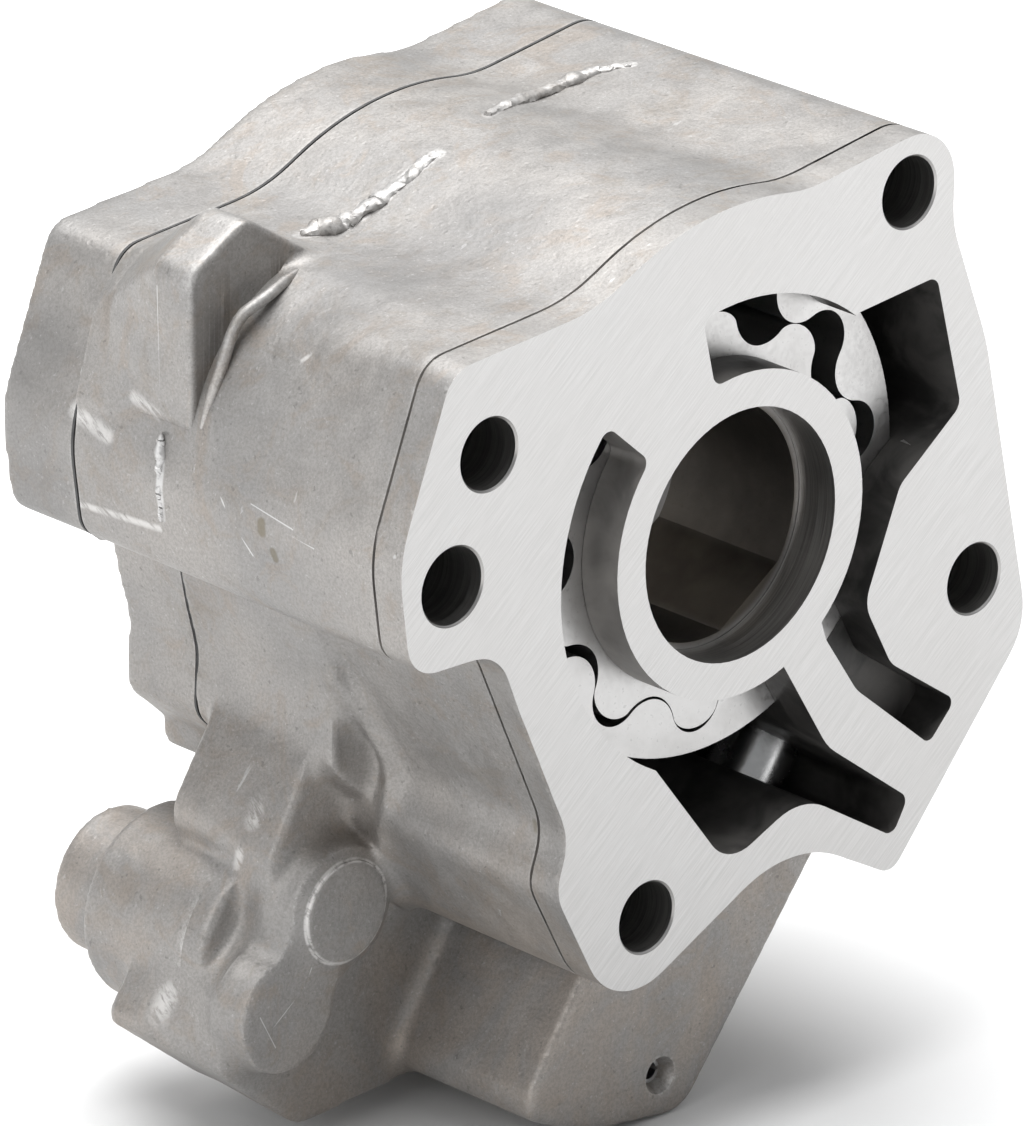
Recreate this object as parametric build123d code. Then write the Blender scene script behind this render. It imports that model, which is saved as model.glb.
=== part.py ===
from build123d import *
import os
from math import cos, sin, tan, atan2, hypot, pi, radians, degrees

# Engine oil pump: a die-cast body with three gerotor sets on one crank axis.
# Millimetres. +Z is up, the machined mounting face is the plane y = 0 and looks
# along -Y, and the origin is the centre of the crank bore on that face.

# Mounting face and screw holes
crank_bore = 25.4
collar_diameter = 32.8
front_wall = 4.8
screw_hole = 7.1
dowel_hole = 7.7
hole_top_right = (22.4, 28.9)
hole_upper_left = (-33.1, 17.4)
hole_dowel = (-37.8, 5.5)
hole_right = (32.0, -13.6)
hole_bottom = (-12.3, -35.9)

# Casting
barrel_wall = 8.42
draft = 0.5
die_line_depth = 3.7
die_line_width = 0.35
valve_housing_front = 10.2
pad_block_front = 29.2
lower_block_step = 2.5
lower_block_plate = 4.3
rear_flank_front = 26.7
side_fin_place = 37.6
side_fin_width = 0.9
lug_front = 30.5
lug_length = 5.0
upper_pad = (-27.7, -38.7)
lower_pad = (-34.8, -47.5)
upper_pad_radius = 6.5
lower_pad_radius = 6.0
raised_disc_radius = 5.25
pad_neck_radius = 3.6
pad_height = 3.2
disc_height = 0.7
port_lip = 1.48
cavity_depth = 22.0
port_end_radius = 1.2
left_port_start, left_port_end = 138.0, 242.0
right_port_start, right_port_end = 2.0, 102.6

# Rotor sets
rotor_diameter = 50.4
rotor_teeth = 10
rotor_rim = 2.05
root_play = 0.29
trochoid_ratio = 0.85652
eccentric_angle = 96.0
rotor_bore = 24.1
rotor_flats = 22.3
flat_angle = -57.7
inner_phase = 14.5
feed_width = 16.2
scavenge_width = 7.4
plate_thickness = 2.5
wave_height = 2.0
wave_strip = 0.4
wave_width = 3.0
waves = 3
rotor_play = 0.08
side_play = 0.05
tooth_play = 0.08
end_play = 0.1

# Plate keys
tab_angle = 225.0
tab_width = 6.0
tab_reach = 4.4
pin_diameter = 2.5

# Rear cover
gasket_thickness = 0.3
gasket_play = 0.5
cover_thickness = 9.9
cover_screw_wall = 4.4
cover_screw_angles = (22.0, 62.0, 180.0, 250.0, 320.0)
cover_screw = 4.0
cover_screw_head = 7.0
cover_screw_head_height = 3.6
cover_screw_reach = 10.0
cover_dowel_angles = (145.0, 300.0)
cover_dowel = 4.0
cover_dowel_length = 10.0
hole_play = 0.15

# Rear spigot
spigot_centre = (-29.6, -44.4)
spigot_root_radius = 10.1
spigot_root_rise = 4.5
spigot_nose_radius = 7.45
spigot_length = 7.2
spigot_bore = 9.0
spigot_bore_depth = 24.0

# Relief valve: its bore runs up and to the right, along the lower right wall
valve_pin_hole = (-0.3, -59.6)
valve_angle = 53.7
valve_depth = 17.1
valve_bore = 8.1
plunger_diameter = 8.0
plunger_length = 16.0
plunger_skirt_bore = 5.6
plunger_skirt_depth = 10.0
plunger_top = 39.4
seat_hole = 5.2
seat_reach = 6.0
plug_length = 6.2
plug_top = 4.5
plug_groove = 1.3
roll_pin_diameter = 2.5
roll_pin_bore = 1.8
pin_hole_countersink = 3.9
spring_wire = 0.7
spring_coils = 7
spring_play = 0.15


def on_face(sketch, y):
    """Put a flat sketch, drawn as x and z, at the depth y."""
    return Plane.XZ.offset(-y) * sketch


def prism(sketch, y_front, y_back, taper=0):
    """A block from y_front to y_back behind a flat outline."""
    return extrude(on_face(sketch, y_front), amount=y_front - y_back, taper=taper)


def rounded(corners):
    """A closed outline from corners given as x, z and the corner's radius."""
    points = [(x, z) for x, z, r in corners]
    radii = [r for x, z, r in corners]
    return make_face(FilletPolyline(*points, radius=radii, close=True).edges())


def near(hole, dx, dz, r):
    """A corner placed from a screw hole."""
    return (hole[0] + dx, hole[1] + dz, r)


def polar(radius, angle, centre=(0, 0)):
    return (centre[0] + radius * cos(radians(angle)), centre[1] + radius * sin(radians(angle)))


def cover_place(angle):
    """The place of a cover screw or dowel, on a circle round the rotor pocket."""
    return polar(cover_screw_circle, angle, axis_2)


def disc(centre, diameter):
    return Pos(centre[0], centre[1]) * Circle(diameter / 2)


def sector(radius, start, end):
    """A pie slice about the crank axis, from start to end anticlockwise."""
    first = polar(radius, start)
    middle = polar(radius, (start + end) / 2)
    last = polar(radius, end)
    edges = [Line((0, 0), first), ThreePointArc(first, middle, last), Line(last, (0, 0))]
    return make_face([e.edge() for e in edges])


# Rotor teeth, both rotor axes and the barrel round them
root_radius = rotor_diameter / 2 - rotor_rim
lobe_circle = root_radius - root_play
eccentricity = trochoid_ratio * lobe_circle / (rotor_teeth + 1)
lobe_radius = 2 * eccentricity
axis_2 = polar(eccentricity, eccentric_angle)
outer_phase = (rotor_teeth * inner_phase + eccentric_angle) / (rotor_teeth + 1)
pocket_radius = rotor_diameter / 2 + rotor_play
barrel_radius = pocket_radius + barrel_wall
port_outer_radius = pocket_radius - port_lip
cover_screw_circle = pocket_radius + cover_screw_wall

# The stack behind the front wall, and what follows its length
feed_start = front_wall + side_play
plate_1_start = feed_start + feed_width + side_play
spring_start = plate_1_start + plate_thickness
plate_2_start = spring_start + wave_height
scavenge_1_start = plate_2_start + plate_thickness + side_play
plate_3_start = scavenge_1_start + scavenge_width + side_play
scavenge_2_start = plate_3_start + plate_thickness + side_play
body_length = scavenge_2_start + scavenge_width + side_play + end_play
lower_block_back = body_length - lower_block_step
spigot_root_end = body_length + spigot_root_rise
spigot_end = spigot_root_end + spigot_length
cover_start = body_length + gasket_thickness
cover_end = cover_start + cover_thickness
screw_holes = (hole_top_right, hole_upper_left, hole_right, hole_bottom)


def face_outline():
    """The outline of the mounting face: the barrel's crown and a lobe at each hole."""
    crown_mid, crown_half = 98, 18
    crown = polar(barrel_radius / cos(radians(crown_half)), crown_mid)
    right_foot = polar(barrel_radius + 0.1, 75.3)
    left_shoulder = polar(barrel_radius + 0.3, 124.3)
    return rounded([
        (crown[0], crown[1], barrel_radius),
        (right_foot[0], right_foot[1], 13),
        near(hole_top_right, 6.4, 6.5, 5.7),
        near(hole_top_right, 6.0, -4.8, 7.6),
        (33.3, 10.8, 25),
        near(hole_right, 7.5, -6.8, 7),
        (21.0, -41.5, 1.9),
        (7.4, -barrel_radius, 14),
        near(hole_bottom, -4.3, -9.4, 7.2),
        near(hole_bottom, -12.1, 5.9, 3.8),
        near(hole_bottom, -10.1, 11.1, 5),
        near(hole_dowel, 5.8, -8.3, 3.8),
        near(hole_dowel, -5.4, -7.9, 3.8),
        near(hole_dowel, -6.9, 4.0, 13),
        near(hole_upper_left, -4.7, 9.5, 3.8),
        (left_shoulder[0], left_shoulder[1], 18),
    ])


def rear_flank():
    """The fuller lower left side of the barrel, behind the feed rotors."""
    return rounded([
        (-31.0, -4.5, 2), (-29.4, -12.0, 12), (-28.0, -17.0, 8), (-28.6, -24.0, 3.5),
        (-17.0, -35.0, 6), (-6.0, -24.0, 1), (-14.0, -6.0, 1),
    ])


def valve_housing():
    """The outline of the relief valve's housing under the mounting face."""
    return rounded([
        (29.6, -31.4, 1), (2.9, -64.4, 4.4), (-10.6, -62.6, 8), (-17.9, -59.0, 1.4),
        (-17.7, -56.2, 3.0), (-6.0, -38.6, 1), (4.0, -28.0, 1),
    ])


def pad_block():
    """The lower left block that carries the two round pads, wider at its rear corner."""
    front = [
        (-26.6, -19.0, 1), (-34.0, -33.0, 5), (-35.2, -40.6, 3), (-41.6, -45.8, 4),
        (-40.6, -53.4, 2), (-30.6, -61.7, 3.2), (-13.0, -60.6, 1), (-6.0, -36.0, 1),
        (-10.0, -20.0, 1),
    ]
    rear = [
        (-26.6, -19.0, 1), (-34.8, -31.6, 4), (-32.2, -37.4, 3), (-38.4, -43.8, 4),
        (-43.4, -50.6, 1.6), (-31.4, -60.2, 3.2), (-13.0, -60.0, 1), (-6.0, -36.0, 1),
        (-10.0, -20.0, 1),
    ]
    plate_start = lower_block_back - lower_block_plate
    start = on_face(rounded(front), pad_block_front)
    end = on_face(rounded(rear), plate_start)
    block = Solid.make_loft([start.face().outer_wire(), end.face().outer_wire()], ruled=True)
    return block + prism(rounded(rear), plate_start, lower_block_back)


def corner_lug():
    """The sharp lug on the upper left corner, which runs out towards the rear."""
    heel = (-26.0, 12.0)
    front = [(-42.7, 12.8), (-42.6, 29.2), (-35.4, 33.2), (-26.6, 27.4), heel]
    rear = [(-43.9, 12.6), (-40.9, 22.0), (-37.2, 25.6), (-26.6, 27.2), heel]
    lug = prism(make_face(Polyline(*front, close=True).edges()), lug_front, lug_front + lug_length)
    start = on_face(Polyline(*front, close=True), lug_front + lug_length)
    end = on_face(Polyline(*rear, close=True), body_length)
    return lug + Solid.make_loft([Wire(start.edges()), Wire(end.edges())], ruled=True)


def curl_port(start, end, blind_end):
    """A port round the collar, with its blind end's two corners rounded."""
    curl = sector(port_outer_radius, start, end) - Circle(collar_diameter / 2)
    middle = polar((port_outer_radius + collar_diameter / 2) / 2, blind_end)
    corners = curl.vertices().sort_by_distance((middle[0], middle[1], 0))[:2]
    return fillet(corners, port_end_radius)


def left_port():
    """The port that curls round the collar's left side into the bottom cavity."""
    curl = curl_port(left_port_start, left_port_end, left_port_start)
    cavity = rounded([
        (-13.0, -8.0, 1), (-15.6, -15.2, 1.5), (-1.5, -33.8, 4.4), (8.6, -29.6, 7),
        (21.1, -37.5, 1.2), (23.2, -34.0, 1.2), (12.0, -25.4, 7), (5.3, -14.2, 1), (0, -6, 1),
    ])
    return curl, cavity


def right_port():
    """The port over the collar's top and right, with its pocket and channel."""
    curl = curl_port(right_port_start, right_port_end, right_port_end)
    pocket = rounded([
        (10.0, 8.0, 1), (15.4, 18.4, 1), (26.3, 19.3, 1.3), (29.8, 5.1, 1.5), (21.6, -0.9, 2.5),
        (16.9, -12.0, 3.5), (20.6, -19.2, 3.5), (29.6, -25.6, 1), (26.0, -29.2, 1),
        (15.9, -20.6, 5), (11.7, -14.2, 2.0), (9.0, -6.0, 1),
    ])
    return curl, pocket


def ports():
    """Both ports: through the front wall at the rotors, and deep where they run past them."""
    cut = None
    collar = Circle(collar_diameter / 2)
    for curl, pocket in (left_port(), right_port()):
        shallow = prism(curl, -1, front_wall + side_play)
        deep = prism(pocket - collar, -1, cavity_depth)
        cut = shallow + deep if cut is None else cut + shallow + deep
    return cut


def valve_place(along, depth=valve_depth):
    """A point on the relief valve's axis, measured from the roll pin's hole."""
    x, z = polar(along, valve_angle, valve_pin_hole)
    return (x, depth, z)


def on_valve_axis(along):
    """A plane across the relief valve's axis."""
    x, z = polar(1, valve_angle)
    return Plane(origin=valve_place(along), x_dir=(0, 1, 0), z_dir=(x, 0, z))


def valve_cylinder(diameter, start, end):
    return extrude(on_valve_axis(start) * Circle(diameter / 2), amount=end - start)


def tab_outline(extra=0):
    """The ear of a separator plate, in the keyway beside the rotor pocket."""
    ear = Pos(tab_reach / 2, 0) * Rectangle(tab_reach + 2 * extra + 6, tab_width + 2 * extra)
    middle = polar(pocket_radius - 3, tab_angle, axis_2)
    return Pos(middle[0], middle[1]) * Rot(0, 0, tab_angle) * ear


def pads():
    """Two overlapping round pads, the upper one with a raised disc."""
    top = pad_block_front - pad_height
    plinth = disc(upper_pad, 2 * upper_pad_radius) + disc(lower_pad, 2 * lower_pad_radius)
    necks = plinth.vertices().sort_by(Axis.Y)
    both = prism(fillet(necks, pad_neck_radius), top, pad_block_front + 1, taper=-8)
    both += prism(disc(upper_pad, 2 * raised_disc_radius), top - disc_height, top + 1)
    return both


def side_fin():
    """A thin web between the pad block and the spigot."""
    blade = rounded([(-31.0, -36.6, 0.3), (-33.4, -36.6, 0.6), (-39.4, -43.4, 0.6), (-38.0, -44.6, 0.3)])
    return prism(blade, side_fin_place, side_fin_place + side_fin_width)


def pump_body():
    body = prism(face_outline(), 0, body_length, taper=draft)
    body += prism(rear_flank(), rear_flank_front, body_length)
    body += prism(valve_housing(), valve_housing_front, lower_block_back)
    body += pad_block()
    body += corner_lug()
    body += pads()
    body += side_fin()
    body += prism(disc(spigot_centre, 2 * spigot_root_radius), pad_block_front + 4, spigot_root_end)
    body += prism(disc(spigot_centre, 2 * spigot_nose_radius), spigot_root_end, spigot_end)

    rim = face_outline() - offset(face_outline(), -die_line_width)
    body -= prism(rim, die_line_depth, die_line_depth + die_line_width)

    body -= ports()
    body -= prism(Circle(crank_bore / 2), -1, front_wall + 1)
    pocket = Pos(axis_2[0], axis_2[1]) * Circle(pocket_radius)
    body -= prism(pocket, front_wall, body_length + 1)
    body -= prism(tab_outline(side_play), plate_1_start, body_length + 1)
    for hole in screw_holes:
        body -= prism(disc(hole, screw_hole), -1, body_length + 1)
    body -= prism(disc(hole_dowel, dowel_hole), -1, body_length + 1)
    for angle in cover_screw_angles:
        place = cover_place(angle)
        body -= prism(disc(place, cover_screw + 2 * hole_play),
                      body_length - cover_screw_reach - 2, body_length + 1)
    for angle in cover_dowel_angles:
        place = cover_place(angle)
        body -= prism(disc(place, cover_dowel), body_length - cover_dowel_length / 2, body_length + 1)

    body -= valve_cylinder(valve_bore, -9, plunger_top)
    body -= valve_cylinder(seat_hole, plunger_top - 1, plunger_top + seat_reach)
    body -= prism(disc(valve_pin_hole, roll_pin_diameter), valve_housing_front - 1,
                  valve_depth + valve_bore / 2 + 3)
    countersink = Cone(roll_pin_diameter / 2, pin_hole_countersink / 2 + 0.35, 2.0)
    body -= Pos(valve_pin_hole[0], valve_housing_front + 0.4, valve_pin_hole[1]) * Rot(90, 0, 0) * countersink
    body -= prism(disc(spigot_centre, spigot_bore), spigot_end - spigot_bore_depth, spigot_end + 1)
    return body


def inner_profile(play):
    """The inner rotor's teeth: an epitrochoid, moved inward by the lobe's radius."""
    steps = 16 * rotor_teeth
    points = []
    for i in range(steps):
        t = 2 * pi * i / steps
        outer_teeth = rotor_teeth + 1
        x = lobe_circle * cos(t) + eccentricity * cos(outer_teeth * t)
        z = lobe_circle * sin(t) + eccentricity * sin(outer_teeth * t)
        dx = -lobe_circle * sin(t) - outer_teeth * eccentricity * sin(outer_teeth * t)
        dz = lobe_circle * cos(t) + outer_teeth * eccentricity * cos(outer_teeth * t)
        inward = (lobe_radius + play) / hypot(dx, dz)
        points.append((x - dz * inward, z + dx * inward))
    return Rot(0, 0, inner_phase) * make_face(Spline(*points, periodic=True).edge())


def drive_bore():
    """The bore with two flats that the crank drives."""
    hole = Circle(rotor_bore / 2) & Rectangle(rotor_flats, rotor_bore)
    return Rot(0, 0, flat_angle) * hole


def inner_rotor(start, width):
    return prism(inner_profile(tooth_play) - drive_bore(), start, start + width)


def outer_profile():
    """The outer rotor's pocket: round lobes joined by tangent hollows."""
    lobes = rotor_teeth + 1
    half = pi / lobes
    side = lobe_circle * sin(half)
    middle = lobe_circle * cos(half)
    reach = root_radius - middle
    hollow = (side ** 2 + reach ** 2 - lobe_radius ** 2) / (2 * (lobe_radius + reach))
    hollow_circle = root_radius - hollow
    touch = atan2(side, middle - hollow_circle)
    edges = []
    for i in range(lobes):
        turn = degrees(2 * half * i) + outer_phase
        centre = polar(lobe_circle, turn)
        beside = polar(hollow_circle, turn + degrees(half))
        before = polar(hollow_circle, turn - degrees(half))
        span = hypot(centre[0] - beside[0], centre[1] - beside[1])
        share = lobe_radius / span
        end = (centre[0] + (beside[0] - centre[0]) * share, centre[1] + (beside[1] - centre[1]) * share)
        start = (centre[0] + (before[0] - centre[0]) * share, centre[1] + (before[1] - centre[1]) * share)
        edges.append(ThreePointArc(start, polar(lobe_circle - lobe_radius, turn), end))
        following = polar(lobe_circle, turn + 2 * degrees(half))
        next_start = (following[0] + (beside[0] - following[0]) * share,
                      following[1] + (beside[1] - following[1]) * share)
        edges.append(ThreePointArc(end, polar(root_radius, turn + degrees(half)), next_start))
    return make_face([e.edge() for e in edges])


def outer_rotor(start, width):
    ring = Circle(rotor_diameter / 2) - outer_profile()
    return prism(Pos(axis_2[0], axis_2[1]) * ring, start, start + width)


def separator_plate(start):
    """A flat plate keyed to the body by an ear, with the crank's hole and two windows."""
    plate = Pos(axis_2[0], axis_2[1]) * Circle(pocket_radius - side_play) + tab_outline()
    plate -= Circle(crank_bore / 2)
    plate -= disc(pin_place, pin_diameter)
    return prism(plate, start, start + plate_thickness)


pin_place = polar(pocket_radius + tab_reach / 2 - 0.4, tab_angle, axis_2)


def separator_pin():
    return prism(disc(pin_place, pin_diameter), plate_1_start, plate_3_start + plate_thickness)


def wave_edge(radius):
    """A closed edge that rises and falls between the two plates."""
    steps = 8 * waves
    swing = (wave_height - wave_strip) / 2 - side_play
    middle = spring_start + (wave_height - wave_strip) / 2
    points = []
    for i in range(steps):
        t = 2 * pi * i / steps
        points.append((radius * cos(t), middle + swing * cos(waves * t), radius * sin(t)))
    return Spline(*points, periodic=True).edge()


def wave_spring():
    """A flat strip that waves between its two plates."""
    radius = (pocket_radius + crank_bore / 2) / 2 + 2
    strip = Face.make_surface_from_curves(wave_edge(radius), wave_edge(radius + wave_width))
    return Pos(axis_2[0], 0, axis_2[1]) * thicken(strip, amount=wave_strip)


def cover_outline():
    """The casting's drafted outline at the joint of the rear cover."""
    return offset(face_outline(), -body_length * tan(radians(draft)))


def joint_outline():
    """What the gasket and the rear cover fill, cut back under the lower left screw."""
    corner = [(-32.0, -33.2), (-20.6, -31.6), (-18.8, -33.9), (-16.6, -39.0), (-15.0, -48.0), (-32.0, -48.0)]
    return cover_outline() + rear_flank() - make_face(Polyline(*corner, close=True).edges())


def cover_openings(play=0):
    """What the gasket and the rear cover leave open."""
    openings = Circle(crank_bore / 2)
    for hole in (*screw_holes, hole_dowel):
        openings += disc(hole, screw_hole + 2 * play)
    for angle in cover_screw_angles:
        openings += disc(cover_place(angle), cover_screw + 2 * hole_play)
    for angle in cover_dowel_angles:
        openings += disc(cover_place(angle), cover_dowel)
    return openings


def rear_ports():
    """Two kidney ports for the scavenge side."""
    ring = Circle(port_outer_radius - 1.5) - Circle(collar_diameter / 2 + 1)
    return (ring & sector(barrel_radius, -30, 60)) + (ring & sector(barrel_radius, 150, 240))


def rear_cover():
    cover = prism(joint_outline(), cover_start, cover_end)
    cover -= prism(cover_openings(), cover_start - 1, cover_end + 1)
    cover -= prism(rear_ports(), cover_start - 1, cover_end + 1)
    for angle in cover_screw_angles:
        cover -= prism(disc(cover_place(angle), cover_screw_head + 2 * hole_play),
                       cover_end - cover_screw_head_height - 0.4, cover_end + 5)
    return cover


def cover_gasket():
    window = Circle(pocket_radius + 0.6)
    sheet = joint_outline()
    sheet -= cover_openings(gasket_play) + Pos(axis_2[0], axis_2[1]) * window
    sheet -= tab_outline(side_play)
    return prism(sheet, body_length, cover_start)


def cover_screws():
    """Five socket-head screws, sunk flush in the cover."""
    head_start = cover_end - cover_screw_head_height - 0.4
    group = []
    for angle in cover_screw_angles:
        place = cover_place(angle)
        screw = prism(disc(place, cover_screw_head), head_start, head_start + cover_screw_head_height)
        screw += prism(disc(place, cover_screw), body_length - cover_screw_reach, head_start + 0.5)
        socket = Pos(place[0], place[1]) * RegularPolygon(cover_screw * 0.43, 6)
        screw -= prism(socket, head_start + cover_screw_head_height / 2, head_start + cover_screw_head_height + 1)
        group.append(screw)
    return Compound(children=group)


def cover_dowels():
    start = body_length - cover_dowel_length / 2
    return Compound(children=[
        prism(disc(cover_place(a), cover_dowel), start, start + cover_dowel_length)
        for a in cover_dowel_angles
    ])


def relief_plunger():
    """A plunger with a hollow skirt for the spring and a relieved waist."""
    bottom = plunger_top - plunger_length
    plunger = valve_cylinder(plunger_diameter, bottom, plunger_top)
    plunger -= valve_cylinder(plunger_skirt_bore, bottom - 1, bottom + plunger_skirt_depth)
    groove = valve_cylinder(plunger_diameter + 1, plunger_top - 3.4, plunger_top - 2.4)
    groove -= valve_cylinder(plunger_diameter - 0.8, plunger_top - 4, plunger_top - 2)
    return plunger - groove


def relief_spring():
    """A coil spring from the plug's top to the hollow in the plunger."""
    start = plug_top + spring_wire / 2
    end = plunger_top - plunger_length + plunger_skirt_depth - spring_wire / 2
    radius = plunger_skirt_bore / 2 - spring_wire / 2 - spring_play
    path = Helix(pitch=(end - start) / spring_coils, height=end - start, radius=radius)
    wire = Plane(origin=path @ 0, z_dir=path % 0) * Circle(spring_wire / 2)
    return on_valve_axis(start) * sweep(wire, path=path)


def relief_plug():
    """The plug that carries the spring, crossed by the roll pin."""
    plug = valve_cylinder(valve_bore - 0.04, plug_top - plug_length, plug_top)
    ring = valve_cylinder(valve_bore + 1, plug_top - 2.6, plug_top - 2.6 + plug_groove)
    ring -= valve_cylinder(valve_bore - 2 * plug_groove, plug_top - 4, plug_top)
    plug -= ring
    return plug - prism(disc(valve_pin_hole, roll_pin_diameter), valve_depth - 10, valve_depth + 10)


def relief_plug_ring():
    """The sealing ring in the plug's groove."""
    section = plug_groove / 2 - 0.08
    ring = Torus(valve_bore / 2 - section - 0.02, section)
    return on_valve_axis(plug_top - 2.6 + plug_groove / 2) * ring


def relief_pin():
    """A slotted roll pin, pressed in from the front."""
    pin = disc(valve_pin_hole, roll_pin_diameter) - disc(valve_pin_hole, roll_pin_bore)
    pin -= Pos(valve_pin_hole[0] + roll_pin_diameter / 2, valve_pin_hole[1]) * Rectangle(roll_pin_diameter, 0.4)
    return prism(pin, valve_housing_front + 1.6, valve_depth + valve_bore / 2 + 3)


nodes = {
    "pump_body": pump_body,
    "rear_cover": rear_cover,
    "cover_gasket": cover_gasket,
    "cover_screws": cover_screws,
    "cover_dowels": cover_dowels,
    "feed_inner_rotor": lambda: inner_rotor(feed_start, feed_width),
    "feed_outer_rotor": lambda: outer_rotor(feed_start, feed_width),
    "scavenge_inner_rotor_1": lambda: inner_rotor(scavenge_1_start, scavenge_width),
    "scavenge_outer_rotor_1": lambda: outer_rotor(scavenge_1_start, scavenge_width),
    "scavenge_inner_rotor_2": lambda: inner_rotor(scavenge_2_start, scavenge_width),
    "scavenge_outer_rotor_2": lambda: outer_rotor(scavenge_2_start, scavenge_width),
    "separator_plate_1": lambda: separator_plate(plate_1_start),
    "separator_plate_2": lambda: separator_plate(plate_2_start),
    "separator_plate_3": lambda: separator_plate(plate_3_start),
    "separator_pin": separator_pin,
    "wave_spring": wave_spring,
    "relief_plunger": relief_plunger,
    "relief_spring": relief_spring,
    "relief_plug": relief_plug,
    "relief_plug_ring": relief_plug_ring,
    "relief_pin": relief_pin,
}

os.makedirs("parts", exist_ok=True)
for name, make in nodes.items():
    export_step(make(), f"parts/{name}.step")
    print(name)
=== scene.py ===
import bmesh
import bpy
import numpy as np
from math import cos, pi, radians, sin
from mathutils import Matrix, Vector


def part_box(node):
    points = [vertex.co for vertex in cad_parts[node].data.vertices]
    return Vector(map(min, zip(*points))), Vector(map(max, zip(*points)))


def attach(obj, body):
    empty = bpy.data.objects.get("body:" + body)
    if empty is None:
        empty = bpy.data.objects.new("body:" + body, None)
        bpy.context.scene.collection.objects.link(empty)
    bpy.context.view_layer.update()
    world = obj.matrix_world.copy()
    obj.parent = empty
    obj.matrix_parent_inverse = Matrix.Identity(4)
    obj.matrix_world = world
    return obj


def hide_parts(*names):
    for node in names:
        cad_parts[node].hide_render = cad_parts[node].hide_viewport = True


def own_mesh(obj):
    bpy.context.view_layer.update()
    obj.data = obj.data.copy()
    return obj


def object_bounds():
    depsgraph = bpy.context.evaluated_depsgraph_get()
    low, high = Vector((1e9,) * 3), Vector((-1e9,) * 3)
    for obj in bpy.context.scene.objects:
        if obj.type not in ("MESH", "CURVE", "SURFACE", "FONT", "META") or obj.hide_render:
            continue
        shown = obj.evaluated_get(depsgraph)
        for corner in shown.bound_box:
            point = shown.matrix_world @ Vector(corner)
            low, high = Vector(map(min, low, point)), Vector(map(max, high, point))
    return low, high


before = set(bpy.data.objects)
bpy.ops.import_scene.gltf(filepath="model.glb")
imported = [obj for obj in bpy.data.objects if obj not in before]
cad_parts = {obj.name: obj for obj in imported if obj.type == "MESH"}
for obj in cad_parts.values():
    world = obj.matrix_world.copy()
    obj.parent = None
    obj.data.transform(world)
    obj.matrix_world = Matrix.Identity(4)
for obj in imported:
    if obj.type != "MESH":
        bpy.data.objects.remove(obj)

cad_box = [list(corner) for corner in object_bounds()]
MM = 0.001

# Sizes that the dressing follows, in metres
FACE_Y = 0.0
BODY_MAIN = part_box("cover_gasket")[0].y
CAVITY_FLOOR = 22.0 * MM
HOUSING_FRONT = 10.2 * MM
DIE_LINE_Y = 3.7 * MM
DIE_LINE_WIDTH = 0.34 * MM
JOINT_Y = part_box("rear_cover")[0].y
COVER_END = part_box("rear_cover")[1].y
AXIS_2 = Vector((-0.000186, 0, 0.00177))
VOXEL = 0.42 * MM
ARC_STEPS = 4
SIDE_STEPS = 16
WIDE = 0.09
SHARP_ANGLE = 35
FULL_TURN = 0.25 * MM

# The photograph's view, solved from its round holes
VIEW_AZIMUTH = radians(-43.94)
VIEW_ELEVATION = radians(22.27)
VIEW_DISTANCE = 1.23426
VIEW_OFFSET = (0.02173, 0.00265)
VIEW_LENS = 415.7


def place_camera():
    """The photograph's long-lens view, looking down on the mounting face's corner."""
    right = Vector((cos(VIEW_AZIMUTH), sin(VIEW_AZIMUTH), 0))
    back = Vector((sin(VIEW_AZIMUTH) * cos(VIEW_ELEVATION),
                   -cos(VIEW_AZIMUTH) * cos(VIEW_ELEVATION), sin(VIEW_ELEVATION)))
    up = back.cross(right)
    camera = bpy.data.objects.new("camera", bpy.data.cameras.new("camera"))
    camera.data.sensor_fit = "VERTICAL"
    camera.data.sensor_height = 36
    camera.data.lens = VIEW_LENS
    camera.data.clip_start = 0.05
    camera.data.clip_end = 20
    place = back * VIEW_DISTANCE - right * VIEW_OFFSET[0] - up * VIEW_OFFSET[1]
    turn = Matrix((right, up, back)).transposed().to_4x4()
    camera.matrix_world = Matrix.Translation(place) @ turn
    bpy.context.scene.collection.objects.link(camera)
    bpy.context.scene.camera = camera


def new_object(name, mesh):
    piece = bpy.data.objects.new(name, mesh)
    bpy.context.scene.collection.objects.link(piece)
    return piece


def welded_copy(node, name):
    """A copy of a CAD node's mesh with its split corners joined."""
    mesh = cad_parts[node].data.copy()
    mesh.materials.clear()
    work = bmesh.new()
    work.from_mesh(mesh)
    bmesh.ops.remove_doubles(work, verts=work.verts, dist=1e-6)
    bmesh.ops.recalc_face_normals(work, faces=work.faces)
    work.to_mesh(mesh)
    work.free()
    return new_object(name, mesh)


def apply_modifiers(piece):
    """Bake an object's modifiers into its mesh."""
    graph = bpy.context.evaluated_depsgraph_get()
    mesh = bpy.data.meshes.new_from_object(piece.evaluated_get(graph))
    piece.modifiers.clear()
    old = piece.data
    piece.data = mesh
    bpy.data.meshes.remove(old)


def discard(piece):
    mesh = piece.data
    bpy.data.objects.remove(piece)
    bpy.data.meshes.remove(mesh)


def combine(piece, other, operation):
    """Add, cut or intersect a closed mesh with another one, which is used up."""
    step = piece.modifiers.new("combine", "BOOLEAN")
    step.operation = operation
    step.object = other
    step.solver = "MANIFOLD"
    apply_modifiers(piece)
    discard(other)


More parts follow.
